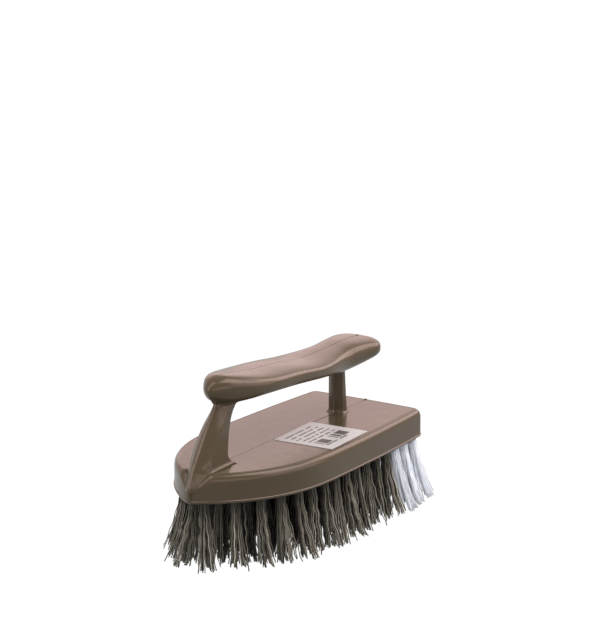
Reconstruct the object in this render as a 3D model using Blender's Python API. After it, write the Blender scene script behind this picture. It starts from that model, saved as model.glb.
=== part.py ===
"""Scrubbing brush with an iron-shaped block and a bridge handle, modelled in metres, +Z up.

The pointed nose is at -X and the blunt rear end at +X. The brush stands on its bristle tips at z = 0,
and the origin is under the middle of the block. The block, both posts and the grip are one moulding.
Each row of bristles is one piece with the slice of the block's underside that holds it.
"""

import math

import bmesh
import bpy

# Block: an iron-shaped slab with a rounded shoulder.
BLOCK_LENGTH = 0.150
BLOCK_WIDTH = 0.0693
BLOCK_THICKNESS = 0.0131
WIDEST_SHARE = 0.435
NOSE_FULLNESS = 2.43
NOSE_BLUNTNESS = 0.847
NOSE_HALF_ANGLE = math.radians(57)
REAR_TAPER = 0.0034
REAR_CORNER_RADIUS = 0.005
SHOULDER_RADIUS = 0.0027
WALL_DRAFT = 0.0003

# Rim and backing: the bristles' slices sit in a pocket inside the rim.
RIM_WALL = 0.0020
BACKING_THICKNESS = 0.0040
GAP = 0.0003

# Grip: a wide flat bar that is full at the nose, waisted over the rear post and flared at the tail.
GRIP_NOSE_SETBACK = 0.0154
GRIP_TAIL_SETBACK = 0.0054
GRIP_WIDTH = 0.031
GRIP_THICKNESS = 0.0094
GRIP_HEIGHT = 0.0276
GRIP_SWEEP = 0.0076
GRIP_NOSE_LENGTH = 0.022
GRIP_NOSE_ROUNDING = 0.0095
GRIP_TAIL_LENGTH = 0.012
GRIP_TAIL_ROUNDING = 0.006
GRIP_ROUNDNESS = 2.8
NOSE_CURVE = 1.75
TAIL_CURVE = 2.5
GRIP_STATION_SHARES = (0.0, 0.095, 0.235, 0.405, 0.576, 0.747, 0.855, 0.979, 1.0)
GRIP_SWEEP_SHARES = (0.93, 0.79, 0.66, 0.46, 0.18, 0.0, 0.06, 0.18, 0.19)
GRIP_WIDTH_SHARES = (0.62, 0.78, 1.0, 1.0, 0.98, 0.78, 0.81, 0.93, 0.94)
GRIP_THICKNESS_SHARES = (1.42, 1.36, 1.05, 1.0, 0.95, 1.22, 1.22, 0.90, 0.88)

# Front post: a raked fin with a narrow keel, a ridge down each side and a flat back.
FRONT_POST_SETBACK = 0.0024
FRONT_POST_RAKE = 0.022
RAKE_CURVE = 1.15
FRONT_POST_DEPTH = 0.025
FRONT_POST_WIDTH = 0.0108
FRONT_KEEL_WIDTH = 0.0014
FRONT_STATION_SHARES = (0.0, 0.05, 0.12, 0.30, 0.50, 0.70, 0.88, 1.0)
FRONT_RIDGE_SHARES = (0.25, 0.25, 0.23, 0.22, 0.23, 0.31, 0.41, 0.47)
FRONT_BACK_SHARES = (1.01, 0.90, 0.77, 0.64, 0.52, 0.46, 0.51, 0.59)
FRONT_WIDTH_SHARES = (1.12, 1.0, 0.98, 0.95, 0.90, 0.82, 0.82, 0.90)

# Rear post: a short upright post with the same kind of keel.
REAR_POST_SETBACK = 0.0319
REAR_POST_DEPTH = 0.0070
REAR_POST_WIDTH = 0.0082
REAR_KEEL_WIDTH = 0.0012
REAR_STATION_SHARES = (0.0, 0.08, 0.5, 1.0)
REAR_RIDGE_SHARES = (0.30, 0.32, 0.30, 0.28)
REAR_BACK_SHARES = (0.98, 0.88, 0.72, 0.60)
REAR_WIDTH_SHARES = (1.08, 0.96, 0.92, 0.88)
POST_ROOT = 0.002
KEEL_BULGE_SHARE = 0.50
KEEL_ROOT_SHARE = 0.65

# Price label: a paper sticker on the block's top, one edge near the centre line.
LABEL_LENGTH = 0.0334
LABEL_WIDTH = 0.0302
LABEL_THICKNESS = 0.0003
LABEL_AHEAD = 0.0090
LABEL_ASIDE = 0.0150
LABEL_TURN = math.radians(2.8)

# Bristles: tufts in rows across the block, each shown by a few thick strands.
BRISTLE_LENGTH = 0.031
ROWS = 16
WHITE_ROWS = 3
STRAND_GRID = 2
STRAND_SIDES = 3
NOSE_MARGIN = 0.0082
REAR_MARGIN = 0.0064
TUFT_EDGE = 0.0044
TUFT_PITCH = 0.0088
TUFT_SPREAD = 0.0010
TIP_SPREAD = 0.0021
STRAND_RADIUS = 0.00062
STRAND_ROOT = 0.0012
SPLAY = 0.0046
LEAN = 0.0006
CRIMP = 0.0007
CRIMP_SHARES = (0.0, 1.0, 0.0)
GOLDEN_ANGLE = math.radians(137.5)

TAUPE_PLASTIC = (0.34, 0.25, 0.22, 1.0)
TAUPE_FILAMENT = (0.16, 0.14, 0.10, 1.0)
WHITE_FILAMENT = (0.82, 0.83, 0.87, 1.0)
LABEL_PAPER = (0.85, 0.83, 0.82, 1.0)

# Heights and ends that follow from the sizes above.
BLOCK_BOTTOM = BRISTLE_LENGTH
BLOCK_TOP = BLOCK_BOTTOM + BLOCK_THICKNESS
NOSE_X = -BLOCK_LENGTH / 2
REAR_X = BLOCK_LENGTH / 2
WIDEST_X = NOSE_X + WIDEST_SHARE * BLOCK_LENGTH
GRIP_NOSE_X = NOSE_X + GRIP_NOSE_SETBACK
GRIP_LENGTH = REAR_X - GRIP_TAIL_SETBACK - GRIP_NOSE_X
ROW_PITCH = (BLOCK_LENGTH - NOSE_MARGIN - REAR_MARGIN) / (ROWS - 1)


def new_collection(name):
    collection = bpy.data.collections.new(name)
    bpy.context.scene.collection.children.link(collection)
    return collection


def plastic(name, colour, roughness):
    material = bpy.data.materials.new(name)
    material.use_nodes = True
    shader = material.node_tree.nodes["Principled BSDF"]
    shader.inputs["Base Color"].default_value = colour
    shader.inputs["Roughness"].default_value = roughness
    shader.inputs["Metallic"].default_value = 0.0
    material.diffuse_color = colour
    return material


def finish_object(name, mesh_in_progress, collection, material=None):
    """Turn a bmesh into a named object; without a material it is a guide for a Boolean."""
    bmesh.ops.recalc_face_normals(mesh_in_progress, faces=mesh_in_progress.faces)
    mesh = bpy.data.meshes.new(name)
    mesh_in_progress.to_mesh(mesh)
    mesh_in_progress.free()
    piece = bpy.data.objects.new(name, mesh)
    collection.objects.link(piece)
    if material is None:
        piece.hide_render = True
        piece.display_type = "WIRE"
    else:
        mesh.materials.append(material)
    return piece


def boolean(piece, other, operation):
    modifier = piece.modifiers.new(f"{operation.lower()} {other.name}", "BOOLEAN")
    modifier.operation = operation
    modifier.solver = "EXACT"
    modifier.object = other


def loft(mesh_in_progress, rings):
    """Skin a row of closed rings that have the same number of points, and cap both ends."""
    rows = [[mesh_in_progress.verts.new(point) for point in ring] for ring in rings]
    count = len(rows[0])
    for low, high in zip(rows, rows[1:]):
        for i in range(count):
            j = (i + 1) % count
            mesh_in_progress.faces.new((low[i], low[j], high[j], high[i]))
    mesh_in_progress.faces.new(rows[0])
    mesh_in_progress.faces.new(rows[-1])


def smooth(share, stations, values):
    """Read a smooth curve through the values at their stations, by cubic Hermite spans."""
    last = len(stations) - 1
    k = 0
    while k < last - 1 and share > stations[k + 1]:
        k += 1

    def slope(i):
        before = max(i - 1, 0)
        after = min(i + 1, last)
        return (values[after] - values[before]) / (stations[after] - stations[before])

    span = stations[k + 1] - stations[k]
    t = (share - stations[k]) / span
    start = values[k] * (2 * t**3 - 3 * t**2 + 1) + slope(k) * span * (t**3 - 2 * t**2 + t)
    end = values[k + 1] * (3 * t**2 - 2 * t**3) + slope(k + 1) * span * (t**3 - t**2)
    return start + end


def block_half_width(x, inset=0.0):
    """Half the block's width at x, for its outline drawn in by inset."""
    half = BLOCK_WIDTH / 2 - inset
    nose = NOSE_X + inset / math.sin(NOSE_HALF_ANGLE)
    rear = REAR_X - inset
    if x <= WIDEST_X:
        t = max((x - nose) / (WIDEST_X - nose), 0.0)
        return half * (1 - (1 - t) ** NOSE_FULLNESS) ** NOSE_BLUNTNESS
    return half - REAR_TAPER * ((x - WIDEST_X) / (rear - WIDEST_X)) ** 2


def block_outline(inset=0.0, nose_steps=13, side_steps=5, corner_steps=4):
    """The block's plan outline, drawn in by inset, from the nose along +Y and back along -Y."""
    nose = NOSE_X + inset / math.sin(NOSE_HALF_ANGLE)
    radius = REAR_CORNER_RADIUS - inset
    corner_x = REAR_X - inset - radius
    side = []
    for i in range(1, nose_steps + 1):
        x = nose + (WIDEST_X - nose) * (i / nose_steps) ** 2
        side.append((x, block_half_width(x, inset)))
    for i in range(1, side_steps + 1):
        x = WIDEST_X + (corner_x - WIDEST_X) * i / side_steps
        side.append((x, block_half_width(x, inset)))
    corner_y = side[-1][1] - radius
    for i in range(1, corner_steps + 1):
        turn = math.pi / 2 * (1 - i / corner_steps)
        side.append((corner_x + radius * math.cos(turn), corner_y + radius * math.sin(turn)))
    return [(nose, 0.0)] + side + [(x, -y) for x, y in reversed(side)]


def raised(outline, z):
    return [(x, y, z) for x, y in outline]


def make_block(collection, material):
    """The slab: a drafted wall, then a shoulder of two steps up to the flat top."""
    wall_top = BLOCK_TOP - SHOULDER_RADIUS
    rings = [raised(block_outline(), BLOCK_BOTTOM)]
    for i in range(3):
        turn = math.pi / 2 * i / 2
        inset = WALL_DRAFT + SHOULDER_RADIUS * (1 - math.cos(turn))
        rings.append(raised(block_outline(inset), wall_top + SHOULDER_RADIUS * math.sin(turn)))
    bm = bmesh.new()
    loft(bm, rings)
    return finish_object("moulded_body", bm, collection, material)


def grip_middle(share):
    """Height of the grip's middle at a share of its length."""
    sweep = smooth(share, GRIP_STATION_SHARES, GRIP_SWEEP_SHARES)
    return BLOCK_TOP + GRIP_HEIGHT + GRIP_SWEEP * sweep


def rounding(distance, length, curve):
    """How full a section is at a distance from an end that is rounded over a length."""
    t = min(max(1 - distance / length, 0.0), 1.0)
    return (1 - t**curve) ** (1 / curve)


def grip_section(share, corners=16):
    """One ring of the grip: a superellipse, drawn in near the rounded nose and tail."""
    from_nose = share * GRIP_LENGTH
    from_tail = GRIP_LENGTH - from_nose
    wide = rounding(from_nose, GRIP_NOSE_LENGTH, NOSE_CURVE)
    wide *= rounding(from_tail, GRIP_TAIL_LENGTH, TAIL_CURVE)
    thick = rounding(from_nose, GRIP_NOSE_ROUNDING, NOSE_CURVE)
    thick *= rounding(from_tail, GRIP_TAIL_ROUNDING, TAIL_CURVE)
    half_width = wide * GRIP_WIDTH / 2 * smooth(share, GRIP_STATION_SHARES, GRIP_WIDTH_SHARES)
    thickness_share = smooth(share, GRIP_STATION_SHARES, GRIP_THICKNESS_SHARES)
    half_thickness = thick * GRIP_THICKNESS / 2 * thickness_share
    ring = []
    for i in range(corners):
        turn = 2 * math.pi * (i + 0.5) / corners
        across = math.copysign(abs(math.cos(turn)) ** (2 / GRIP_ROUNDNESS), math.cos(turn))
        up = math.copysign(abs(math.sin(turn)) ** (2 / GRIP_ROUNDNESS), math.sin(turn))
        y = half_width * across
        z = grip_middle(share) + half_thickness * up
        ring.append((GRIP_NOSE_X + from_nose, y, z))
    return ring


def make_grip(collection):
    nose_shares = [0.003, 0.012, 0.03, 0.055, 0.09]
    middle_shares = [0.14 + 0.08 * i for i in range(10)]
    tail_shares = [0.92, 0.955, 0.98, 0.993, 0.999]
    bm = bmesh.new()
    loft(bm, [grip_section(share) for share in nose_shares + middle_shares + tail_shares])
    return finish_object("grip_form", bm, collection)


def post_section(keel_x, ridge, back, half_width, half_keel, z):
    """A keeled section: narrow at the front, widest at the ridges, then flat sides and back."""
    bulge_x = keel_x + (ridge - keel_x) / 2
    bulge_y = half_keel + (half_width - half_keel) * KEEL_BULGE_SHARE
    side = [(keel_x, half_keel), (bulge_x, bulge_y), (ridge, half_width), (back, half_width)]
    return [(x, y, z) for x, y in side] + [(x, -y, z) for x, y in reversed(side)]


def make_front_post(collection):
    foot_x = NOSE_X + FRONT_POST_SETBACK
    head_x = foot_x + FRONT_POST_RAKE + FRONT_POST_DEPTH * FRONT_RIDGE_SHARES[-1]
    head_share = (head_x - GRIP_NOSE_X) / GRIP_LENGTH
    rise = grip_middle(head_share) - BLOCK_TOP
    rings = []
    for share, ridge, back, width in zip(
        FRONT_STATION_SHARES, FRONT_RIDGE_SHARES, FRONT_BACK_SHARES, FRONT_WIDTH_SHARES
    ):
        keel_x = foot_x + FRONT_POST_RAKE * share**RAKE_CURVE
        ring = post_section(
            keel_x,
            keel_x + FRONT_POST_DEPTH * ridge,
            keel_x + FRONT_POST_DEPTH * back,
            FRONT_POST_WIDTH / 2 * width,
            FRONT_KEEL_WIDTH / 2,
            BLOCK_TOP + rise * share,
        )
        rings.append(ring)
    root = post_section(
        NOSE_X + FRONT_KEEL_WIDTH * KEEL_ROOT_SHARE,
        foot_x + FRONT_POST_DEPTH * FRONT_RIDGE_SHARES[0],
        foot_x + FRONT_POST_DEPTH * FRONT_BACK_SHARES[0],
        FRONT_POST_WIDTH / 2,
        FRONT_KEEL_WIDTH / 2,
        BLOCK_TOP - SHOULDER_RADIUS,
    )
    bm = bmesh.new()
    loft(bm, [root] + rings)
    return finish_object("front_post_form", bm, collection)


def make_rear_post(collection):
    keel_x = REAR_X - REAR_POST_SETBACK
    head_share = (keel_x - GRIP_NOSE_X) / GRIP_LENGTH
    rise = grip_middle(head_share) - BLOCK_TOP
    rings = []
    for share, ridge, back, width in zip(
        REAR_STATION_SHARES, REAR_RIDGE_SHARES, REAR_BACK_SHARES, REAR_WIDTH_SHARES
    ):
        ring = post_section(
            keel_x,
            keel_x + REAR_POST_DEPTH * ridge,
            keel_x + REAR_POST_DEPTH * back,
            REAR_POST_WIDTH / 2 * width,
            REAR_KEEL_WIDTH / 2,
            BLOCK_TOP + rise * share,
        )
        rings.append(ring)
    root = [(x, y, z - POST_ROOT) for x, y, z in rings[0]]
    bm = bmesh.new()
    loft(bm, [root] + rings)
    return finish_object("rear_post_form", bm, collection)


def make_pocket(collection):
    """The pocket in the underside, a gap larger all round than the slices that fill it."""
    outline = block_outline(RIM_WALL)
    bm = bmesh.new()
    loft(bm, [raised(outline, BLOCK_BOTTOM - GAP), raised(outline, BLOCK_BOTTOM + BACKING_THICKNESS + GAP)])
    return finish_object("pocket_form", bm, collection)


def make_label(collection, material):
    bm = bmesh.new()
    bmesh.ops.create_cube(bm, size=1.0)
    bmesh.ops.scale(bm, vec=(LABEL_LENGTH, LABEL_WIDTH, LABEL_THICKNESS), verts=bm.verts)
    piece = finish_object("price_label", bm, collection, material)
    piece.location = (LABEL_AHEAD, -LABEL_ASIDE, BLOCK_TOP + GAP + LABEL_THICKNESS / 2)
    piece.rotation_euler = (0.0, 0.0, LABEL_TURN)
    return piece


def make_backing_slice(name, row, collection, material):
    """One row's slice of the underside: the pocket's outline, cut square across on both sides."""
    low_x = row_x(row) - ROW_PITCH / 2 + GAP / 2
    high_x = row_x(row) + ROW_PITCH / 2 - GAP / 2
    bm = bmesh.new()
    loft(
        bm,
        [
            raised(block_outline(RIM_WALL + GAP), BLOCK_BOTTOM),
            raised(block_outline(RIM_WALL + GAP), BLOCK_BOTTOM + BACKING_THICKNESS),
        ],
    )
    cuts = []
    if row > 0:
        cuts.append((low_x, -1.0))
    if row < ROWS - 1:
        cuts.append((high_x, 1.0))
    for x, side in cuts:
        everything = bm.verts[:] + bm.edges[:] + bm.faces[:]
        cut = bmesh.ops.bisect_plane(
            bm, geom=everything, plane_co=(x, 0.0, 0.0), plane_no=(side, 0.0, 0.0), clear_outer=True
        )
        rim = [part for part in cut["geom_cut"] if isinstance(part, bmesh.types.BMEdge)]
        bmesh.ops.contextual_create(bm, geom=rim)
    return finish_object(name, bm, collection, material)


def row_x(row):
    return NOSE_X + NOSE_MARGIN + ROW_PITCH * row


def tuft_places(row):
    """The middles of one row's tufts across the block."""
    reach = block_half_width(row_x(row) - TUFT_SPREAD - STRAND_RADIUS, TUFT_EDGE)
    count = max(2, round(2 * reach / TUFT_PITCH) + 1)
    return [reach * (2 * i / (count - 1) - 1) for i in range(count)], reach


def splayed(place, limit):
    """How far a tuft's tips lean outwards, most at the edge of the block."""
    return SPLAY * (place / limit) ** 3


def strand_rings(root_x, root_y, tip_x, tip_y, wave):
    """The rings of one crimped strand, from inside its slice down to its flat tip at z = 0."""
    steps = len(CRIMP_SHARES) - 1
    rings = []
    for i, crimp in enumerate(CRIMP_SHARES):
        share = i / steps
        x = root_x + (tip_x - root_x) * share + CRIMP * crimp * math.cos(wave)
        y = root_y + (tip_y - root_y) * share + CRIMP * crimp * math.sin(wave)
        z = BLOCK_BOTTOM * (1 - share)
        ring = []
        for k in range(STRAND_SIDES):
            turn = 2 * math.pi * k / STRAND_SIDES
            ring.append((x + STRAND_RADIUS * math.cos(turn), y + STRAND_RADIUS * math.sin(turn), z))
        rings.append(ring)
    root = [(x, y, z + STRAND_ROOT) for x, y, z in rings[0]]
    return [root] + rings


def make_strands(name, row, first_tuft, collection):
    """All strands of one row: a small square bundle in each tuft, which fans out towards its tips."""
    bm = bmesh.new()
    places, reach = tuft_places(row)
    for i, place in enumerate(places):
        wave = GOLDEN_ANGLE * (first_tuft + i)
        tuft_x = row_x(row) + splayed(row_x(row), REAR_X) + LEAN * math.cos(wave)
        tuft_y = place + splayed(place, reach) + LEAN * math.sin(wave)
        for m in range(STRAND_GRID):
            for n in range(STRAND_GRID):
                side_x = 2 * m / (STRAND_GRID - 1) - 1
                side_y = 2 * n / (STRAND_GRID - 1) - 1
                rings = strand_rings(
                    row_x(row) + TUFT_SPREAD * side_x,
                    place + TUFT_SPREAD * side_y,
                    tuft_x + TIP_SPREAD * side_x,
                    tuft_y + TIP_SPREAD * side_y,
                    wave,
                )
                loft(bm, rings)
    return finish_object(name, bm, collection), len(places)


def make_rows(parts, guides, taupe, white):
    tufts = 0
    for row in range(ROWS):
        taupe_rows = ROWS - WHITE_ROWS
        if row < taupe_rows:
            name = f"taupe_row_{row + 1:02d}"
            material = taupe
        else:
            name = f"white_row_{row + 1 - taupe_rows:02d}"
            material = white
        backing = make_backing_slice(name, row, parts, material)
        strands, count = make_strands(f"{name}_strands", row, tufts, guides)
        boolean(backing, strands, "UNION")
        tufts += count
    print("tufts", tufts, "strands", tufts * STRAND_GRID**2)


def main():
    for thing in list(bpy.data.objects):
        bpy.data.objects.remove(thing, do_unlink=True)
    parts = new_collection("tile_brush")
    guides = new_collection("guides")
    body = make_block(parts, plastic("taupe polypropylene", TAUPE_PLASTIC, 0.3))
    boolean(body, make_front_post(guides), "UNION")
    boolean(body, make_rear_post(guides), "UNION")
    boolean(body, make_grip(guides), "UNION")
    boolean(body, make_pocket(guides), "DIFFERENCE")
    make_label(parts, plastic("label paper", LABEL_PAPER, 0.6))
    taupe = plastic("taupe filament", TAUPE_FILAMENT, 0.45)
    white = plastic("white filament", WHITE_FILAMENT, 0.45)
    make_rows(parts, guides, taupe, white)


main()
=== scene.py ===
# %% [markdown]
# # A tile brush, dressed for its photograph
#
# The object is a hand scrubbing brush with an iron-shaped block. The block, the two posts and the
# grip are one glossy plastic moulding, and tufts of coarse crimped filament are punched into its
# underside: taupe ones, and a white group at the blunt end. A white price sticker lies on top.
#
# The CAD model is loaded first, because it fixes every size and place. Each cell then replaces
# one of its plain solids with a finished piece that fills the same space.

# %% Load the CAD model as a fixed frame
import math
import random

import bmesh
import bpy
from mathutils import Matrix, Vector


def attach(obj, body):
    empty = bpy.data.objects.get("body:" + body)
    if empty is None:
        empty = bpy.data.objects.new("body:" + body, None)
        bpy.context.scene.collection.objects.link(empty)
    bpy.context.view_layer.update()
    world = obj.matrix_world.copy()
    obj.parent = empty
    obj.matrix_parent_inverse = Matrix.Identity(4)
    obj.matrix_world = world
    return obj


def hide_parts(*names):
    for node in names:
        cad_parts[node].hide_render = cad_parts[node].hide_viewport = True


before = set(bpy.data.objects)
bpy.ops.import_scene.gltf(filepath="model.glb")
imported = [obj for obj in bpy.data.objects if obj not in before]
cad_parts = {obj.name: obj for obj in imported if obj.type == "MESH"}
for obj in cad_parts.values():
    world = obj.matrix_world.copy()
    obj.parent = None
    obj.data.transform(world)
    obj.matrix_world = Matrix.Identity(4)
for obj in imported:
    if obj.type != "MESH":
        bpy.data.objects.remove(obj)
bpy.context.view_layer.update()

MM = 0.001

# %% [markdown]
# ## The camera
#
# The photograph's camera was solved from straight edges and known outlines: it stands 1.4 m away,
# off the nose and above the table, with a long lens, so the brush shows little perspective. A
# camera matrix is three directions and a place, so it can be written down exactly, with no target
# to aim at.

# %% Camera
CAMERA_YAW = math.radians(-57.12)
CAMERA_PITCH = math.radians(14.19)
CAMERA_ROLL = math.radians(0.05)
CAMERA_PLACE = Vector((-1092.94, -717.18, 430.72)) * MM
FOCAL_PIXELS = 2987.5
IMAGE_LONG_SIDE = 632
SENSOR_WIDTH = 36.0

back = Vector(
    (
        math.sin(CAMERA_YAW) * math.cos(CAMERA_PITCH),
        -math.cos(CAMERA_YAW) * math.cos(CAMERA_PITCH),
        math.sin(CAMERA_PITCH),
    )
)
right = (-back).cross(Vector((0.0, 0.0, 1.0))).normalized()
up = right.cross(-back)
rolled_right = math.cos(CAMERA_ROLL) * right + math.sin(CAMERA_ROLL) * up
rolled_up = math.cos(CAMERA_ROLL) * up - math.sin(CAMERA_ROLL) * right
camera_data = bpy.data.cameras.new("photograph camera")
camera_data.sensor_width = SENSOR_WIDTH
camera_data.lens = FOCAL_PIXELS * SENSOR_WIDTH / IMAGE_LONG_SIDE
camera = bpy.data.objects.new("photograph camera", camera_data)
bpy.context.scene.collection.objects.link(camera)
axes = Matrix((rolled_right, rolled_up, back)).transposed().to_4x4()
camera.matrix_world = Matrix.Translation(CAMERA_PLACE) @ axes
bpy.context.scene.camera = camera
print("lens, mm:", round(camera_data.lens, 1))

# %% [markdown]
# ## Colours and nodes
#
# Colours are picked as sRGB hex values, and a renderer works in linear light, so one function
# turns one into the other. A second one adds a shader node, sets it up and links it in the same
# line, which keeps a node tree as readable as a recipe. A third starts an empty material.

# %% Helpers for materials
def paint(hex_colour):
    """An sRGB hex colour as linear red, green, blue and alpha."""
    values = [int(hex_colour[i : i + 2], 16) / 255 for i in (1, 3, 5)]
    linear = [v / 12.92 if v <= 0.04045 else ((v + 0.055) / 1.055) ** 2.4 for v in values]
    return (*linear, 1.0)


def add_node(tree, kind, inputs=None, **settings):
    """Add a node. Each input is a plain value, or a node or a node's output to link from."""
    made = tree.nodes.new(kind)
    for name, value in settings.items():
        setattr(made, name, value)
    for socket, value in (inputs or {}).items():
        if isinstance(value, bpy.types.Node):
            value = value.outputs[0]
        if isinstance(value, bpy.types.NodeSocket):
            tree.links.new(value, made.inputs[socket])
        else:
            made.inputs[socket].default_value = value
    return made


def new_material(name):
    """A material with its node tree, its Principled shader and nothing else changed."""
    material = bpy.data.materials.new(name)
    material.use_nodes = True
    tree = material.node_tree
    return material, tree, tree.nodes["Principled BSDF"]


# %% [markdown]
# ## Studio
#
# The photograph is a cut-out on white. A white floor could be had by pouring light on it, but
# then the brush would be overlit too. Here the Light Path node tells the rays apart: those from
# the camera see the floor and the room nearly white, mirror rays see the floor as mid grey and
# the room as pale pink, and diffuse rays see only a plain grey floor and a weak fill, so the
# lamps alone set the light level.

# %% What each kind of ray sees
def seen_directly(tree, mirrored=1.0):
    """1 for camera and transmitted rays, mirrored for mirror rays, and 0 for diffuse ones."""
    path = add_node(tree, "ShaderNodeLightPath")
    straight = add_node(
        tree,
        "ShaderNodeMath",
        {0: path.outputs["Is Camera Ray"], 1: path.outputs["Is Transmission Ray"]},
        operation="MAXIMUM",
    )
    glossy = add_node(
        tree,
        "ShaderNodeMath",
        {0: path.outputs["Is Glossy Ray"], 1: mirrored},
        operation="MULTIPLY",
    )
    return add_node(
        tree, "ShaderNodeMath", {0: straight.outputs[0], 1: glossy.outputs[0]}, operation="MAXIMUM"
    ).outputs[0]


# %% [markdown]
# ## Floor
#
# The cut-out shows no ground. Without one the block's glossy wall would mirror a bright room
# below the brush, and no light would come back up between the bristles. So there is one large
# square, whose shader mixes a plain grey surface with a white glow, by what each kind of ray
# may see.

# %% Floor
FLOOR_SIZE = 8.0
FLOOR_COLOUR = "#9C9C9C"
FLOOR_GLOW = 1.12
FLOOR_WHITENESS = 0.9
FLOOR_MIRRORED = 0.54
ROOM_WHITE = "#FFFFFF"

floor_bm = bmesh.new()
bmesh.ops.create_grid(floor_bm, x_segments=1, y_segments=1, size=FLOOR_SIZE / 2)
floor_mesh = bpy.data.meshes.new("studio floor")
floor_bm.to_mesh(floor_mesh)
floor_bm.free()
floor = bpy.data.objects.new("studio_floor", floor_mesh)
bpy.context.scene.collection.objects.link(floor)
floor_material, tree, shader = new_material("pale studio floor")
shader.inputs["Base Color"].default_value = paint(FLOOR_COLOUR)
shader.inputs["Roughness"].default_value = 0.9
shader.inputs["Specular IOR Level"].default_value = 0.0
glow = add_node(tree, "ShaderNodeEmission", {"Color": paint(ROOM_WHITE), "Strength": FLOOR_GLOW})
share = add_node(
    tree,
    "ShaderNodeMath",
    {0: seen_directly(tree, FLOOR_MIRRORED), 1: FLOOR_WHITENESS},
    operation="MULTIPLY",
)
floor_mix = add_node(
    tree,
    "ShaderNodeMixShader",
    {0: share.outputs[0], 1: shader.outputs[0], 2: glow.outputs[0]},
)
tree.links.new(floor_mix.outputs[0], tree.nodes["Material Output"].inputs["Surface"])
floor_mesh.materials.append(floor_material)
print("floor, m:", FLOOR_SIZE)

# %% [markdown]
# ## Surroundings
#
# Round the brush stands a white room. A picture of a real studio would need an image file, and a
# plain white world would light the brush from every side and take its contrast away. The world
# therefore has two backgrounds, a weak fill for diffuse rays and a bright one for all the rays
# that see the room itself. Mirror rays find it pale pink, as the photograph's reflections are.

# %% White surroundings
WORLD_FILL = 0.03
ROOM_MIRRORED = "#EFD4D0"

world = bpy.data.worlds.new("white studio")
world.use_nodes = True
bpy.context.scene.world = world
tree = world.node_tree
fill = tree.nodes["Background"]
fill.inputs["Color"].default_value = paint(ROOM_WHITE)
fill.inputs["Strength"].default_value = WORLD_FILL
mirror_ray = add_node(tree, "ShaderNodeLightPath").outputs["Is Glossy Ray"]
surroundings = add_node(
    tree,
    "ShaderNodeMix",
    {"Factor": mirror_ray, 6: paint(ROOM_WHITE), 7: paint(ROOM_MIRRORED)},
    data_type="RGBA",
)
white = add_node(tree, "ShaderNodeBackground", {"Color": surroundings.outputs[2], "Strength": 1.0})
world_mix = add_node(
    tree,
    "ShaderNodeMixShader",
    {0: seen_directly(tree), 1: fill.outputs[0], 2: white.outputs[0]},
)
tree.links.new(world_mix.outputs[0], tree.nodes["World Output"].inputs["Surface"])
print("world fill:", WORLD_FILL)

# %% [markdown]
# ## Lamps
#
# Glossy plastic shows its lamps, so each broad tone on the brush asks for a surface of light in
# the right direction. Point lamps would give hard dots. Seven rectangular area lamps stand for
# the photographer's softboxes: three high ones give the tops of the grip and the block their
# sheen, one at the nose and two low ones open up the wall, the front post and the bristles, and a
# wide one behind the brush is what the flat top mirrors towards the camera. The two behind the
# brush are slightly pink, like the reflections in the photograph.

# %% Softboxes
AIM_HEIGHT = 0.05
SOFTBOXES = {
    "nose side softbox": ((-1.0, 0.6, 0.5), 0.9, 0.9, 2.8, "#FFFFFF"),
    "overhead softbox": ((-0.6, 0.2, 1.2), 0.8, 0.8, 2.2, "#FFFFFF"),
    "near side softbox": ((0.35, -0.7, 1.25), 1.1, 1.0, 4.2, "#FFFFFF"),
    "low nose softbox": ((-0.79, -1.12, 0.34), 1.2, 0.35, 1.6, "#FFFFFF"),
    "low side softbox": ((0.44, -1.22, 0.58), 1.3, 0.8, 1.4, "#FFFFFF"),
    "rear softbox": ((1.4, -0.4, 0.95), 1.0, 0.9, 3.2, "#FFEAE6"),
    "backdrop softbox": ((1.8, 1.2, 0.7), 2.0, 1.1, 0.72, "#FFE1DE"),
}


def add_softbox(name, place, width, height, radiance, colour):
    """A rectangular lamp that faces the brush; radiance 1 looks as bright as white paper."""
    lamp = bpy.data.lights.new(name, "AREA")
    lamp.shape = "RECTANGLE"
    lamp.size = width
    lamp.size_y = height
    lamp.energy = radiance * width * height * math.pi
    lamp.color = paint(colour)[:3]
    holder = bpy.data.objects.new(name, lamp)
    bpy.context.scene.collection.objects.link(holder)
    aim = Vector(place) - Vector((0.0, 0.0, AIM_HEIGHT))
    turn = aim.to_track_quat("Z", "Y").to_matrix().to_4x4()
    holder.matrix_world = Matrix.Translation(place) @ turn


for name, settings in SOFTBOXES.items():
    add_softbox(name, *settings)

bpy.context.scene.view_settings.view_transform = "Standard"
print("softboxes:", ", ".join(SOFTBOXES))

# %% [markdown]
# ## Moulded polypropylene
#
# The body is polypropylene, injected into a polished steel mould. That gives a smooth, rather
# glossy skin over an opaque colour. The plastic itself is a dark olive brown, and most of the
# pink that the eye sees on it is reflected light, which the specular tint and the lamps give. One
# flat colour would look like a toy, so large soft clouds in the colour stand for the way the melt
# flowed, fine patches in the roughness for handling, and a shallow ripple bends the reflections a
# little.

# %% Polypropylene
CLOUD_SIZE = 30 * MM
PATCH_SIZE = 5 * MM
RIPPLE_SIZE = 9 * MM
RIPPLE_DEPTH = 0.12 * MM
SMOOTHEST = 0.17
ROUGHEST = 0.24
POLYPROPYLENE_IOR = 1.49


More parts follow.
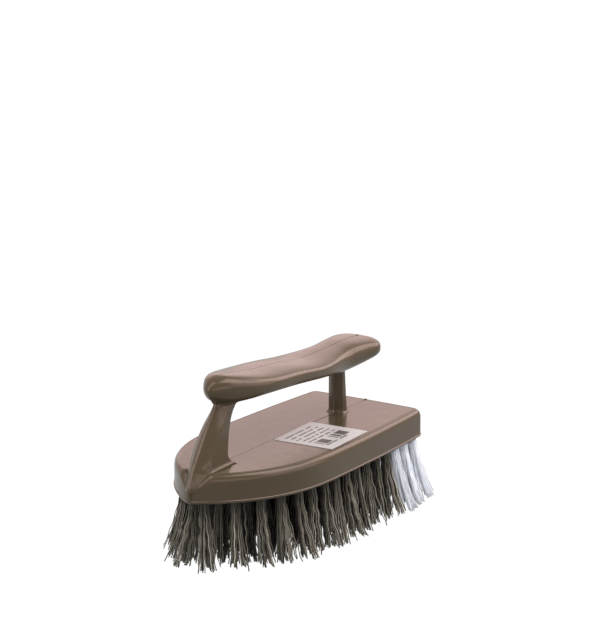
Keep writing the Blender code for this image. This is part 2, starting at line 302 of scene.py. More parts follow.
def make_polypropylene():
    material, tree, shader = new_material("moulded taupe polypropylene")
    place = add_node(tree, "ShaderNodeTexCoord").outputs["Object"]
    clouds = add_node(
        tree,
        "ShaderNodeTexNoise",
        {"Vector": place, "Scale": 1 / CLOUD_SIZE, "Detail": 3.0, "Roughness": 0.5},
    )
    colour = add_node(
        tree,
        "ShaderNodeMix",
        {"Factor": clouds.outputs["Fac"], 6: paint("#4C4432"), 7: paint("#544A37")},
        data_type="RGBA",
    )
    patches = add_node(
        tree,
        "ShaderNodeTexNoise",
        {"Vector": place, "Scale": 1 / PATCH_SIZE, "Detail": 4.0, "Roughness": 0.6},
    )
    sheen = add_node(
        tree,
        "ShaderNodeMapRange",
        {
            "Value": patches.outputs["Fac"],
            "From Min": 0.3,
            "From Max": 0.7,
            "To Min": SMOOTHEST,
            "To Max": ROUGHEST,
        },
    )
    ripple = add_node(
        tree,
        "ShaderNodeTexNoise",
        {"Vector": place, "Scale": 1 / RIPPLE_SIZE, "Detail": 1.0, "Roughness": 0.4},
    )
    bump = add_node(
        tree,
        "ShaderNodeBump",
        {"Height": ripple.outputs["Fac"], "Strength": 0.25, "Distance": RIPPLE_DEPTH},
    )
    tree.links.new(colour.outputs[2], shader.inputs["Base Color"])
    tree.links.new(sheen.outputs["Result"], shader.inputs["Roughness"])
    tree.links.new(bump.outputs["Normal"], shader.inputs["Normal"])
    shader.inputs["IOR"].default_value = POLYPROPYLENE_IOR
    shader.inputs["Specular Tint"].default_value = paint("#FFE1DC")
    return material


polypropylene = make_polypropylene()
print("made", polypropylene.name)

# %% [markdown]
# ## Curves through a few numbers
#
# The grip and the posts change all along their length, but their sizes are known at a few
# stations only. Straight lines between those would show as kinks in the reflections, so a smooth
# curve runs through the values instead. Two more helpers give a soft step, and steps along a form
# that crowd together at its ends.

# %% Helpers for curves
def smooth_through(share, stations, values):
    """Read a smooth curve through the values at their stations."""
    last = len(stations) - 1
    k = 0
    while k < last - 1 and share > stations[k + 1]:
        k += 1

    def slope(i):
        before = max(i - 1, 0)
        after = min(i + 1, last)
        return (values[after] - values[before]) / (stations[after] - stations[before])

    span = stations[k + 1] - stations[k]
    t = (share - stations[k]) / span
    start = values[k] * (2 * t**3 - 3 * t**2 + 1) + slope(k) * span * (t**3 - 2 * t**2 + t)
    end = values[k + 1] * (3 * t**2 - 2 * t**3) + slope(k + 1) * span * (t**3 - t**2)
    return start + end


def ease(value):
    """0 below 0, 1 above 1, and a soft step between."""
    t = min(max(value, 0.0), 1.0)
    return t * t * (3 - 2 * t)


def close_steps(count):
    """Shares from 0 to 1 that crowd together near both ends, where forms turn fastest."""
    return [0.5 - 0.5 * math.cos(math.pi * i / count) for i in range(count + 1)]


# %% [markdown]
# ## Smooth forms from rings
#
# A form that changes its section is drawn out ring by ring: a first ring of points, then an
# extrusion for each next station, whose new points are put in their places. A few sections could
# be drawn by hand and bridged, but here every ring's shape comes from the same few numbers as the
# CAD model.

# %% Helpers for rings
def edges_between(made, verts):
    """Of what an extrusion made, the edges whose two ends are both among the verts."""
    edges = [part for part in made if isinstance(part, bmesh.types.BMEdge)]
    return [edge for edge in edges if edge.verts[0] in verts and edge.verts[1] in verts]


def extrude_rings(bm, rings):
    """Cap a first ring, extrude it through all the others, and cap the last."""
    ring = [bm.verts.new(point) for point in rings[0]]
    edges = [bm.edges.new((ring[i - 1], ring[i])) for i in range(len(ring))]
    bmesh.ops.contextual_create(bm, geom=edges)
    for points in rings[1:]:
        number = {vert: i for i, vert in enumerate(ring)}
        made = bmesh.ops.extrude_edge_only(bm, edges=edges)["geom"]
        ring = [None] * len(points)
        for vert in made:
            if isinstance(vert, bmesh.types.BMVert):
                ends = [edge.other_vert(vert) for edge in vert.link_edges]
                older = next(end for end in ends if end in number)
                ring[number[older]] = vert
        for vert, point in zip(ring, points):
            vert.co = point
        edges = edges_between(made, set(ring))
    bmesh.ops.contextual_create(bm, geom=edges)
    bmesh.ops.recalc_face_normals(bm, faces=bm.faces)


# %% [markdown]
# ## From a form to a piece
#
# A bmesh is a workbench, and what lies on it isn't in the scene yet. One function turns it into
# an object with smooth shading. Another joins or cuts an object with a second one. A live Boolean
# modifier would need that second object kept for ever, so the result is stored as the piece's own
# mesh.

# %% Helpers for pieces
def put_in_scene(name, bm, material=None):
    """Turn a bmesh into a smooth-shaded object at the origin."""
    mesh = bpy.data.meshes.new(name)
    bm.to_mesh(mesh)
    bm.free()
    mesh.shade_smooth()
    if material is not None:
        mesh.materials.append(material)
    piece = bpy.data.objects.new(name, mesh)
    bpy.context.scene.collection.objects.link(piece)
    return piece


def boolean(piece, other, operation):
    """Join or cut with another object, keep the result as the piece's own mesh, drop the other."""
    modifier = piece.modifiers.new(operation.lower(), "BOOLEAN")
    modifier.operation = operation
    modifier.solver = "EXACT"
    modifier.object = other
    finished = piece.evaluated_get(bpy.context.evaluated_depsgraph_get())
    result = bpy.data.meshes.new_from_object(finished)
    piece.modifiers.clear()
    piece.data = result
    bpy.data.objects.remove(other)


# %% [markdown]
# ## The block's outline
#
# In plan the block is an iron's sole: a pointed nose with bulging sides, and a blunt end with two
# rounded corners that bows out a little. It could be traced point by point, but such a list can't
# be changed later. Here a power curve gives the bulging sides with two numbers, and arcs give the
# corners. The whole outline can also be drawn in by a distance, which the wall and the shoulder
# need.

# %% Outline of the block
BLOCK_LENGTH = 150 * MM
BLOCK_WIDTH = 69.3 * MM
WIDEST_SHARE = 0.435
NOSE_FULLNESS = 2.43
NOSE_BLUNTNESS = 0.847
NOSE_HALF_ANGLE = math.radians(57)
NOSE_POINT_SHARE = 0.12
REAR_TAPER = 3.4 * MM
REAR_CORNER_RADIUS = 5 * MM
TIGHTEST_CORNER = 1.2 * MM
REAR_BOW = 1.15 * MM
REAR_BOW_LENGTH = 14 * MM
NOSE_X = -BLOCK_LENGTH / 2
REAR_X = BLOCK_LENGTH / 2
WIDEST_X = NOSE_X + WIDEST_SHARE * BLOCK_LENGTH


def block_half_width(x, inset=0.0):
    """Half the block's width at x, with the outline drawn in by inset."""
    half = BLOCK_WIDTH / 2 - inset
    nose = NOSE_X + inset / math.sin(NOSE_HALF_ANGLE)
    rear = REAR_X - inset
    if x <= WIDEST_X:
        t = max((x - nose) / (WIDEST_X - nose), 0.0)
        return half * (1 - (1 - t) ** NOSE_FULLNESS) ** NOSE_BLUNTNESS
    return half - REAR_TAPER * ((x - WIDEST_X) / (rear - WIDEST_X)) ** 2


def block_outline(inset, nose_steps=30, side_steps=24, corner_steps=9, rear_steps=9):
    """The block's plan outline, drawn in by inset, from the nose along +Y and back along -Y."""
    nose = NOSE_X + inset / math.sin(NOSE_HALF_ANGLE)
    radius = max(REAR_CORNER_RADIUS - inset, TIGHTEST_CORNER)
    corner_x = REAR_X - inset - radius
    side = []
    for i in range(1, nose_steps + 1):
        t = NOSE_POINT_SHARE + (1 - NOSE_POINT_SHARE) * i / nose_steps
        x = nose + (WIDEST_X - nose) * t * t
        side.append((x, block_half_width(x, inset)))
    for i in range(1, side_steps + 1):
        x = WIDEST_X + (corner_x - WIDEST_X) * i / side_steps
        side.append((x, block_half_width(x, inset)))
    corner_y = side[-1][1] - radius
    for i in range(1, corner_steps + 1):
        turn = math.pi / 2 * (1 - i / corner_steps)
        side.append((corner_x + radius * math.cos(turn), corner_y + radius * math.sin(turn)))
    for i in range(1, rear_steps + 1):
        side.append((corner_x + radius, corner_y * (1 - i / (rear_steps + 0.5))))
    bowed = []
    for x, y in side:
        strength = ease((x - REAR_X + REAR_BOW_LENGTH) / REAR_BOW_LENGTH)
        bowed.append((x - REAR_BOW * strength * (2 * y / BLOCK_WIDTH) ** 2, y))
    return [(nose, 0.0)] + bowed + [(x, -y) for x, y in reversed(bowed)]


print("points round the block:", len(block_outline(0.0)))

# %% [markdown]
# ## The block
#
# Seen from the side the block has a nearly upright wall, a rounded shoulder up to the flat top,
# and at the bottom a small step where the mould's halves met. It could be cut from a solid and
# beveled, but every one of those is the same outline drawn in by a little more or less, so the
# block is one stack of rings. At the tip the top and its shoulder bend down, and the rings there
# are moved down last, by how near each point is to the tip.

# %% Block
BLOCK_BOTTOM = 31 * MM
BLOCK_TOP = 44.1 * MM
SHOULDER_WIDTH = 2.7 * MM
SHOULDER_DROP = 3.5 * MM
SHOULDER_STEPS = 10
SHOULDER_LEAD = 2 * MM
WALL_DRAFT = 0.36 * MM
BOTTOM_STEP = ((0, 0.75), (0.3, 0.3), (0.8, 0.12), (1.0, 0), (1.2, 0), (1.5, 0.3), (1.9, 0.32))
CREASE = 0.12 * MM
CREASE_FOOT = 0.2 * MM
CREASE_TOP = 0.45 * MM
TOP_RINGS = (1, 2.2, 3.6, 5.2, 7, 9)
NOSE_EDGE_LENGTH = 6 * MM
NOSE_EDGE_ROUNDING = 0.75 * MM
NOSE_DROOP = 5 * MM
DROOP_START = 34 * MM
DROOP_FULL = 2 * MM
DROOP_END = 11 * MM


def block_profile():
    """The wall from the underside up to the flat top, as pairs of height and inset."""
    profile = [(BLOCK_BOTTOM + high * MM, inset * MM) for high, inset in BOTTOM_STEP]
    wall_top = BLOCK_TOP - SHOULDER_DROP
    profile.append((wall_top - SHOULDER_LEAD, WALL_DRAFT))
    for i in range(SHOULDER_STEPS + 1):
        turn = math.pi / 2 * i / SHOULDER_STEPS
        inset = WALL_DRAFT + SHOULDER_WIDTH * (1 - math.cos(turn))
        profile.append((wall_top + SHOULDER_DROP * math.sin(turn), inset))
    edge = WALL_DRAFT + SHOULDER_WIDTH
    profile += [(BLOCK_TOP - CREASE, edge + CREASE_FOOT), (BLOCK_TOP, edge + CREASE_TOP)]
    profile += [(BLOCK_TOP, edge + further * MM) for further in TOP_RINGS]
    return profile


def drooped(point):
    """The top and its shoulder bend down round the tip of the nose."""
    from_tip = math.hypot(point.x - NOSE_X, point.y)
    near = ease((DROOP_END - from_tip) / (DROOP_END - DROOP_FULL))
    high = max((point.z - DROOP_START) / (BLOCK_TOP - DROOP_START), 0.0)
    return point.z - NOSE_DROOP * near * high


def make_block():
    bm = bmesh.new()
    rings = [[(x, y, z) for x, y in block_outline(inset)] for z, inset in block_profile()]
    extrude_rings(bm, rings)
    edge_end = NOSE_X + NOSE_EDGE_LENGTH
    bmesh.ops.bevel(
        bm,
        geom=[e for e in bm.edges if all(v.co.y == 0 and v.co.x < edge_end for v in e.verts)],
        offset=NOSE_EDGE_ROUNDING,
        segments=3,
        profile=0.5,
        affect="EDGES",
        material=-1,
    )
    for vert in bm.verts:
        vert.co.z = drooped(vert.co)
    return put_in_scene("brush_body", bm, polypropylene)


body = make_block()
print("block faces:", len(body.data.polygons))

# %% [markdown]
# ## The grip's shape
#
# The grip is a wide flat bar with soft edges, thick and rounded at the nose, waisted over the
# rear post and flared at the tail. A subdivided box could be pulled into that shape by hand, but
# its section is a superellipse, which goes from oval to nearly rectangular with one number, so
# stations along the length with a few numbers each say it exactly.

# %% Shape of the grip
GRIP_NOSE_X = NOSE_X + 15.4 * MM
GRIP_LENGTH = 129.2 * MM
GRIP_WIDTH = 31 * MM
GRIP_THICKNESS = 9.4 * MM
GRIP_HEIGHT = 27.6 * MM
GRIP_SWEEP = 7.6 * MM
GRIP_NOSE_LENGTH = 22 * MM
GRIP_NOSE_ROUNDING = 9.5 * MM
GRIP_TAIL_LENGTH = 12 * MM
GRIP_TAIL_ROUNDING = 6 * MM
GRIP_ROUNDNESS = 2.8
OVAL = 2.0
OVAL_NOSE_SHARE = 0.12
OVAL_TAIL_SHARE = 0.02
NOSE_CURVE = 1.75
TAIL_CURVE = 2.5
GRIP_STATIONS = (0.0, 0.095, 0.235, 0.405, 0.576, 0.747, 0.855, 0.979, 1.0)
GRIP_SWEEPS = (0.93, 0.79, 0.66, 0.46, 0.18, 0.0, 0.06, 0.18, 0.19)
GRIP_WIDTHS = (0.62, 0.78, 1.0, 1.0, 0.98, 0.78, 0.81, 0.93, 0.94)
GRIP_THICKNESSES = (1.42, 1.36, 1.05, 1.0, 0.95, 1.22, 1.22, 0.90, 0.88)


def grip_middle(share):
    """Height of the grip's middle at a share of its length."""
    return BLOCK_TOP + GRIP_HEIGHT + GRIP_SWEEP * smooth_through(share, GRIP_STATIONS, GRIP_SWEEPS)


def rounding(distance, length, curve):
    """How an end closes in: 0 at the end, 1 from a length away, and a rounded curve between."""
    t = min(max(1 - distance / length, 0.0), 1.0)
    return (1 - t**curve) ** (1 / curve)


def grip_halves(share):
    """Half the grip's width and thickness at a share of its length."""
    from_nose = share * GRIP_LENGTH
    from_tail = GRIP_LENGTH - from_nose
    wide = rounding(from_nose, GRIP_NOSE_LENGTH, NOSE_CURVE)
    wide *= rounding(from_tail, GRIP_TAIL_LENGTH, TAIL_CURVE)
    thick = rounding(from_nose, GRIP_NOSE_ROUNDING, NOSE_CURVE)
    thick *= rounding(from_tail, GRIP_TAIL_ROUNDING, TAIL_CURVE)
    half_width = wide * GRIP_WIDTH / 2 * smooth_through(share, GRIP_STATIONS, GRIP_WIDTHS)
    thickness = smooth_through(share, GRIP_STATIONS, GRIP_THICKNESSES)
    return half_width, thick * GRIP_THICKNESS / 2 * thickness


def grip_roundness(share):
    """The superellipse's power: an oval at both ends and a rounded bar between them."""
    squarer = (GRIP_ROUNDNESS - OVAL) * ease(share / OVAL_NOSE_SHARE)
    return OVAL + squarer * ease((1 - share) / OVAL_TAIL_SHARE)


print("grip, mm:", round(GRIP_LENGTH / MM, 1), "long,", round(GRIP_WIDTH / MM, 1), "wide")

# %% [markdown]
# ## The grip
#
# The mould parts along the middle plane and leaves a hair-fine raised line there, along the top
# and the underside of the grip. A bump in the material would fade at the outline, so the line is
# real: in each ring the point on the middle plane is lifted, between two close neighbours that
# stay where they are.

# %% Grip
PARTING_RISE = 0.12 * MM
PARTING_WIDTH = 0.32 * MM
PARTING_TURN = 0.005
GRIP_RINGS = 97
GRIP_END_SHARE = 0.0002


def grip_ring(share, corners=64):
    """One section of the grip, with a small raised point on the middle plane, above and below."""
    half_width, half_thickness = grip_halves(share)
    quarter = math.pi / 2
    turns = [2 * math.pi * i / corners for i in range(corners)]
    for beside in (PARTING_TURN, 3 * PARTING_TURN):
        turns += [middle + off for middle in (quarter, 3 * quarter) for off in (-beside, beside)]
    ring = []
    for turn in sorted(turns):
        across = math.copysign(abs(math.cos(turn)) ** (2 / grip_roundness(share)), math.cos(turn))
        lift = math.copysign(abs(math.sin(turn)) ** (2 / grip_roundness(share)), math.sin(turn))
        rise = PARTING_RISE * ease((half_width - PARTING_WIDTH) / MM)
        if abs(math.cos(turn)) > PARTING_TURN / 2:
            rise = 0.0
        z = grip_middle(share) + half_thickness * lift + math.copysign(rise, lift)
        ring.append((GRIP_NOSE_X + share * GRIP_LENGTH, half_width * across, z))
    return ring


def make_grip():
    shares = close_steps(GRIP_RINGS - 1)
    shares = [min(max(s, GRIP_END_SHARE), 1 - GRIP_END_SHARE) for s in shares]
    bm = bmesh.new()
    extrude_rings(bm, [grip_ring(share) for share in shares])
    return put_in_scene("grip form", bm)


grip = make_grip()
print("grip faces:", len(grip.data.polygons))

# %% [markdown]
# ## A post's section
#
# Each post is a fin with a narrow keel on the parting plane, sides that swell back to a ridge,
# then a flat flank and back. A stretched cylinder has none of those edges, and one bevel over a
# plain fin would round them all alike. So the section is a short list of corners, each with its
# own radius, and its far side is the near one mirrored.

# %% Section of a post
SWELL = 0.32
SWELL_STEPS = 4
BEAD_WIDTH = 0.4 * MM
BEAD_SINK = 0.1 * MM
KEEL_CORNER = 0.2 * MM
SWELL_CORNER = 0.4 * MM
BEAD_FOOT_CORNER = 0.1 * MM
BEAD_CORNER = 0.3 * MM
BACK_CORNER = 0.6 * MM
CORNER_SHARE = 0.45


def rounded(corners, steps=4):
    """A closed outline of (x, y, radius), with each corner cut back along a small arc."""
    points = []
    count = len(corners)
    for i in range(count):
        radius = corners[i][2]
        before, here, after = (Vector(corners[(i + k) % count][:2]) for k in (-1, 0, 1))
        reach_in = min(radius, (before - here).length * CORNER_SHARE)
        reach_out = min(radius, (after - here).length * CORNER_SHARE)
        start = here + (before - here).normalized() * reach_in
        end = here + (after - here).normalized() * reach_out
        for k in range(steps + 1):
            t = k / steps
            points.append(start * (1 - t) ** 2 + here * 2 * t * (1 - t) + end * t**2)
    return points


def mirrored(side):
    """A half outline and its mirror image, once round."""
    return rounded(side + [(x, -y, radius) for x, y, radius in reversed(side)])


def post_outline(keel_x, ridge, back_x, half_width, half_keel, bead=0.0):
    """A keeled section in plan: flat keel, swelling face, beaded ridge, flat flank, back."""
    side = [(keel_x, half_keel, KEEL_CORNER)]
    for i in range(1, SWELL_STEPS):
        turn = math.pi / 2 * i / SWELL_STEPS
        straight = (1 - SWELL) * i / SWELL_STEPS
        x = keel_x + (ridge - keel_x) * (SWELL * (1 - math.cos(turn)) + straight)
        y = half_keel + (half_width - half_keel) * (SWELL * math.sin(turn) + straight)
        side.append((x, y, SWELL_CORNER))
    side.append((ridge - BEAD_WIDTH, half_width - BEAD_SINK, BEAD_FOOT_CORNER))
    side.append((ridge, half_width + bead, BEAD_CORNER))
    side.append((ridge + BEAD_WIDTH, half_width, BEAD_FOOT_CORNER))
    side.append((back_x, half_width, BACK_CORNER))
    return mirrored(side)


# %% [markdown]
# ## Flares
#
# Where a post meets the block or the grip the mould has a small radius, or the corner would
# crack. A bevel after the union would need clean loops there, and a union rarely leaves them. So
# the radius is built in before: each ring's outline grows along a quarter circle as it comes near
# the block's top or the grip's underside. That is the flare.

# %% Flares
FLARE = 1.5 * MM
NEAREST_TO_END = 0.001
WIDEST_REACH = 0.98


def underside_of_grip(x, y):
    """Height of the grip's underside above a point in plan."""
    share = (x - GRIP_NOSE_X) / GRIP_LENGTH
    share = min(max(share, NEAREST_TO_END), 1 - NEAREST_TO_END)
    half_width, half_thickness = grip_halves(share)
    reach = min(abs(y) / half_width, WIDEST_REACH)
    power = grip_roundness(share)
    return grip_middle(share) - half_thickness * (1 - reach**power) ** (1 / power)


def flare(gap):
    """How far a section grows outwards at a distance from the surface that it meets."""
    t = min(max(gap / FLARE, 0.0), 1.0)
    return FLARE * (1 - math.sqrt(1 - (1 - t) ** 2))


def grown(points, distances):
    """Each point moved outwards, square to the outline, by its own distance."""
    count = len(points)
    moved = []
    for i, point in enumerate(points):
        along = points[(i + 1) % count] - points[i - 1]
        outwards = Vector((along.y, -along.x)).normalized()
        moved.append(point - outwards * distances[i])
    return moved


def post_rings(stations, section):
    """Rings up a post; section(share) gives outline, height and where the foot's flare starts."""
    rings = []
    for share in stations:
        points, z, flare_from = section(share)
        sizes = []
        for p in points:
            below = ease((p.x - flare_from) / FLARE)
            above = flare(underside_of_grip(p.x, p.y) - z)
            sizes.append(max(flare(z - BLOCK_TOP) * below, above))
        rings.append([(p.x, p.y, z) for p in grown(points, sizes)])
    return rings


print("flare at the surface, mm:", round(flare(0.0) / MM, 2))

# %% [markdown]
# ## The front post's rise
#
# The front post rakes back from the nose up to the grip. It is deepest at its foot and slimmest a
# little below the grip, and each side has a thin raised bead along its ridge. One fin that is
# scaled at its ends can't follow that, so the keel, the ridge, the back and the width each have
# their own curve up the post.

# %% Rise of the front post
FRONT_FOOT_X = NOSE_X + 2.4 * MM
FRONT_RAKE = 22 * MM
RAKE_CURVE = 1.15
FRONT_DEPTH = 25 * MM
FRONT_WIDTH = 10.8 * MM
FRONT_HALF_KEEL = 0.7 * MM
KEEL_BACK = 0.8 * MM
KEEL_BACK_STEEPNESS = 4
BEAD = 0.5 * MM
BEAD_FADE = 0.06
BEAD_TOP_SHARE = 0.78
FRONT_STATIONS = (0.0, 0.05, 0.12, 0.30, 0.50, 0.70, 0.88, 1.0)
FRONT_RIDGES = (0.25, 0.25, 0.23, 0.22, 0.23, 0.31, 0.41, 0.47)
FRONT_BACKS = (1.01, 0.90, 0.77, 0.64, 0.52, 0.46, 0.51, 0.59)
FRONT_WIDTHS = (1.12, 1.0, 0.98, 0.95, 0.90, 0.82, 0.82, 0.90)
FRONT_HEAD_X = FRONT_FOOT_X + FRONT_RAKE + FRONT_DEPTH * FRONT_RIDGES[-1]
FRONT_RISE = grip_middle((FRONT_HEAD_X - GRIP_NOSE_X) / GRIP_LENGTH) - BLOCK_TOP


def front_section(share):
    """The front post's outline, height and ridge at a share of its rise."""
    middle_x = FRONT_FOOT_X + FRONT_RAKE * share**RAKE_CURVE
    keel_x = middle_x + KEEL_BACK * ease(share * KEEL_BACK_STEEPNESS)
    ridge = middle_x + FRONT_DEPTH * smooth_through(share, FRONT_STATIONS, FRONT_RIDGES)
    back_x = middle_x + FRONT_DEPTH * smooth_through(share, FRONT_STATIONS, FRONT_BACKS)
    half_width = FRONT_WIDTH / 2 * smooth_through(share, FRONT_STATIONS, FRONT_WIDTHS)
    bead = BEAD * ease(share / BEAD_FADE) * ease((BEAD_TOP_SHARE - share) / BEAD_FADE)
    outline = post_outline(keel_x, ridge, back_x, half_width, FRONT_HALF_KEEL, bead)
    return outline, BLOCK_TOP + FRONT_RISE * share, ridge


print("front post rises, mm:", round(FRONT_RISE / MM, 1))

# %% [markdown]
# ## The front post
#
# The post's foot doesn't stop at the block's top. It carries on down into the drooping nose and
# further forward, until its keel stands at the very tip, and from there only a narrow strip
# follows the nose's edge down the wall. Modelled as a separate strip, that would leave a seam. As
# the first rings of the same extrusion it flows into the post.

# %% Front post
POST_RINGS = 45
FIRST_RING_SHARE = 0.0003
ROOT_DROP = 7.5 * MM
ROOT_CURVE = 1.5
KEEL_SET_BACK = 0.03 * MM
FOOT_RINGS = 10
STRIP_PROUD = 0.12 * MM
STRIP_HALF = 1.05 * MM
STRIP_DROPS = (12.2 * MM, ROOT_DROP + 0.4 * MM)
DOUBLE_DISTANCE = 0.004 * MM


def outline_x(y, inset):
    """Where the block's outline stands y off the middle, near the nose."""
    low, high = NOSE_X, WIDEST_X
    for _ in range(30):
        middle = (low + high) / 2
        if block_half_width(middle, inset) < y:
            low = middle
        else:
            high = middle
    return high


def front_foot(drop):
    """The foot carried on down into the nose, and further forward until its keel is at the tip."""
    ridge = FRONT_FOOT_X + FRONT_DEPTH * FRONT_RIDGES[0]
    back_x = FRONT_FOOT_X + FRONT_DEPTH * FRONT_BACKS[0]
    half_width = FRONT_WIDTH / 2 * FRONT_WIDTHS[0]
    foot = post_outline(FRONT_FOOT_X, ridge, back_x, half_width, FRONT_HALF_KEEL)
    share = 1 - max(1 - drop / ROOT_DROP, 0.0) ** ROOT_CURVE
    forward = share * (FRONT_FOOT_X - NOSE_X - KEEL_SET_BACK)
    return [(p.x - forward, p.y, BLOCK_TOP - drop) for p in foot]


def keel_strip(drop):
    """The foot narrowed to a strip that runs down the nose's edge."""
    foot = front_foot(drop)
    widest = max(y for x, y, z in foot)
    strip = []
    for x, y, z in foot:
        beyond_keel = max(abs(y) - FRONT_HALF_KEEL, 0.0) / (widest - FRONT_HALF_KEEL)
        half = min(abs(y), FRONT_HALF_KEEL) + beyond_keel * (STRIP_HALF - FRONT_HALF_KEEL)
        if abs(y) > FRONT_HALF_KEEL and x < FRONT_FOOT_X + FRONT_DEPTH / 2:
            x = outline_x(half, WALL_DRAFT - STRIP_PROUD)
        strip.append((x, math.copysign(half, y), z))
    return strip


def make_front_post():
    rings = [keel_strip(drop) for drop in STRIP_DROPS]
    rings += [front_foot(ROOT_DROP * (1 - i / FOOT_RINGS)) for i in range(FOOT_RINGS)]
    stations = [FIRST_RING_SHARE] + close_steps(POST_RINGS - 1)[1:]
    bm = bmesh.new()
    extrude_rings(bm, rings + post_rings(stations, front_section))
    bmesh.ops.remove_doubles(bm, verts=bm.verts, dist=DOUBLE_DISTANCE)
    return put_in_scene("front post form", bm)


front_post = make_front_post()
print("front post faces:", len(front_post.data.polygons))

# %% [markdown]
# ## The rear post
#
# The rear post stands upright under the waist of the grip. It has the same kind of section, only
# slimmer and without a bead, so it reuses the front one's functions with its own few numbers.

# %% Rear post
REAR_KEEL_X = REAR_X - 31.9 * MM
REAR_DEPTH = 7 * MM
REAR_WIDTH = 8.2 * MM
REAR_HALF_KEEL = 0.6 * MM
REAR_STATIONS = (0.0, 0.08, 0.5, 1.0)
REAR_RIDGES = (0.30, 0.32, 0.30, 0.28)
REAR_BACKS = (0.90, 0.86, 0.72, 0.60)
REAR_WIDTHS = (0.98, 0.95, 0.92, 0.88)
REAR_ROOT = 2 * MM
REAR_RISE = grip_middle((REAR_KEEL_X - GRIP_NOSE_X) / GRIP_LENGTH) - BLOCK_TOP


def rear_section(share):
    """The rear post's outline, height and where its foot's flare starts, at a share of its rise."""
    ridge = REAR_KEEL_X + REAR_DEPTH * smooth_through(share, REAR_STATIONS, REAR_RIDGES)
    back_x = REAR_KEEL_X + REAR_DEPTH * smooth_through(share, REAR_STATIONS, REAR_BACKS)
    half_width = REAR_WIDTH / 2 * smooth_through(share, REAR_STATIONS, REAR_WIDTHS)
    outline = post_outline(REAR_KEEL_X, ridge, back_x, half_width, REAR_HALF_KEEL)
    return outline, BLOCK_TOP + REAR_RISE * share, REAR_KEEL_X - 2 * FLARE


def make_rear_post():
    rings = post_rings([FIRST_RING_SHARE] + close_steps(POST_RINGS - 1)[1:], rear_section)
    root = [(x, y, BLOCK_TOP - REAR_ROOT) for x, y, z in rings[0]]
    bm = bmesh.new()
    extrude_rings(bm, [root] + rings)
    return put_in_scene("rear post form", bm)


rear_post = make_rear_post()
print("rear post rises, mm:", round(REAR_RISE / MM, 1))

# %% [markdown]
# ## One moulding
#
# The four forms could stay four objects that overlap, and would look joined from afar. But then
# every joint would show as a hard crossing, so they become one closed skin with Boolean unions,
# as they are on the real brush. Two small nibs are left where the plastic was fed in, at the tail
# of the grip and at the rear of the block, and the parting line runs along the block's top as it
# does along the grip.

# %% Join the forms
PARTING_LINE_SHORTER = 12 * MM
PARTING_LINE_AFT = 1.5 * MM
PARTING_LINE_ROUNDING_SHARE = 0.9
NIB_RADIUS = 1.0 * MM
NIB_TOP_RADIUS = 0.6 * MM
NIB_DEPTH = 0.6 * MM
NIB_FROM_REAR = 3.2 * MM
NIB_SHARE = 0.955


def make_parting_line():
    """A low rounded ridge along the middle of the block's top."""
    bm = bmesh.new()
    bmesh.ops.create_cube(bm, size=1.0)
    length = BLOCK_LENGTH - PARTING_LINE_SHORTER
    bmesh.ops.scale(bm, vec=(length, 2 * PARTING_WIDTH, 2 * PARTING_RISE), verts=bm.verts)
    upper = [e for e in bm.edges if all(v.co.z > 0 for v in e.verts)]
    bmesh.ops.bevel(
        bm,
        geom=[e for e in upper if abs(e.verts[0].co.x - e.verts[1].co.x) > length / 2],
        offset=PARTING_WIDTH * PARTING_LINE_ROUNDING_SHARE,
        segments=2,
        profile=0.5,
        affect="EDGES",
        material=-1,
    )
    bmesh.ops.translate(bm, vec=(PARTING_LINE_AFT, 0.0, BLOCK_TOP), verts=bm.verts)
    return put_in_scene("parting line form", bm)


def make_nib(x, z):
    """A low blunt cone where the plastic was fed in."""
    bm = bmesh.new()
    bmesh.ops.create_cone(
        bm,
        cap_ends=True,
        segments=20,
        radius1=NIB_RADIUS,
        radius2=NIB_TOP_RADIUS,
        depth=NIB_DEPTH,
    )
    bmesh.ops.translate(bm, vec=(x, 0.0, z), verts=bm.verts)
    return put_in_scene("nib form", bm)


tail_top = grip_middle(NIB_SHARE) + grip_halves(NIB_SHARE)[1]
for form in (
    grip,
    front_post,
    rear_post,
    make_parting_line(),
    make_nib(GRIP_NOSE_X + NIB_SHARE * GRIP_LENGTH, tail_top),
    make_nib(REAR_X - NIB_FROM_REAR, BLOCK_TOP),
):
    boolean(body, form, "UNION")
print("body faces after the unions:", len(body.data.polygons))

# %% [markdown]
# ## Tuft holes
#
# Each tuft is punched into its own blind hole, with a small metal staple at the bottom. The
# staples can't be seen. Tufts could simply be pushed into an uncut underside, but then no dark
# rim would show round their roots, so all the holes are cut in one Boolean difference with one
# mesh of short cylinders. The body is then whole. It gets its smooth and sharp edges by angle,
# and takes the CAD body's place.

# %% Rows of holes
ROWS = 16
WHITE_ROWS = 3
NOSE_MARGIN = 8.2 * MM
REAR_MARGIN = 6.4 * MM
ROW_PITCH = (BLOCK_LENGTH - NOSE_MARGIN - REAR_MARGIN) / (ROWS - 1)
TUFT_EDGE = 4.4 * MM
TUFT_PITCH = 8.8 * MM
EDGE_STEP = 1.62 * MM
HOLE_RADIUS = 2.1 * MM
HOLE_DEPTH = 3 * MM
SHARP_ANGLE = math.radians(38)


def row_x(row):
    """Where a row stands along the block, counted from the nose."""
    return NOSE_X + NOSE_MARGIN + ROW_PITCH * row


def tuft_places(row):
    """The middles of one row's tufts across the block, and how far the outer ones lie out."""
    reach = block_half_width(row_x(row) - EDGE_STEP, TUFT_EDGE)
    count = max(2, round(2 * reach / TUFT_PITCH) + 1)
    return [reach * (2 * i / (count - 1) - 1) for i in range(count)], reach


def make_hole_cutter():
    bm = bmesh.new()
    for row in range(ROWS):
        for y in tuft_places(row)[0]:
            place = Matrix.Translation((row_x(row), y, BLOCK_BOTTOM))
            bmesh.ops.create_cone(
                bm,
                cap_ends=True,
                segments=20,
                radius1=HOLE_RADIUS,
                radius2=HOLE_RADIUS,
                depth=2 * HOLE_DEPTH,
                matrix=place,
            )
    return put_in_scene("hole cutter", bm)


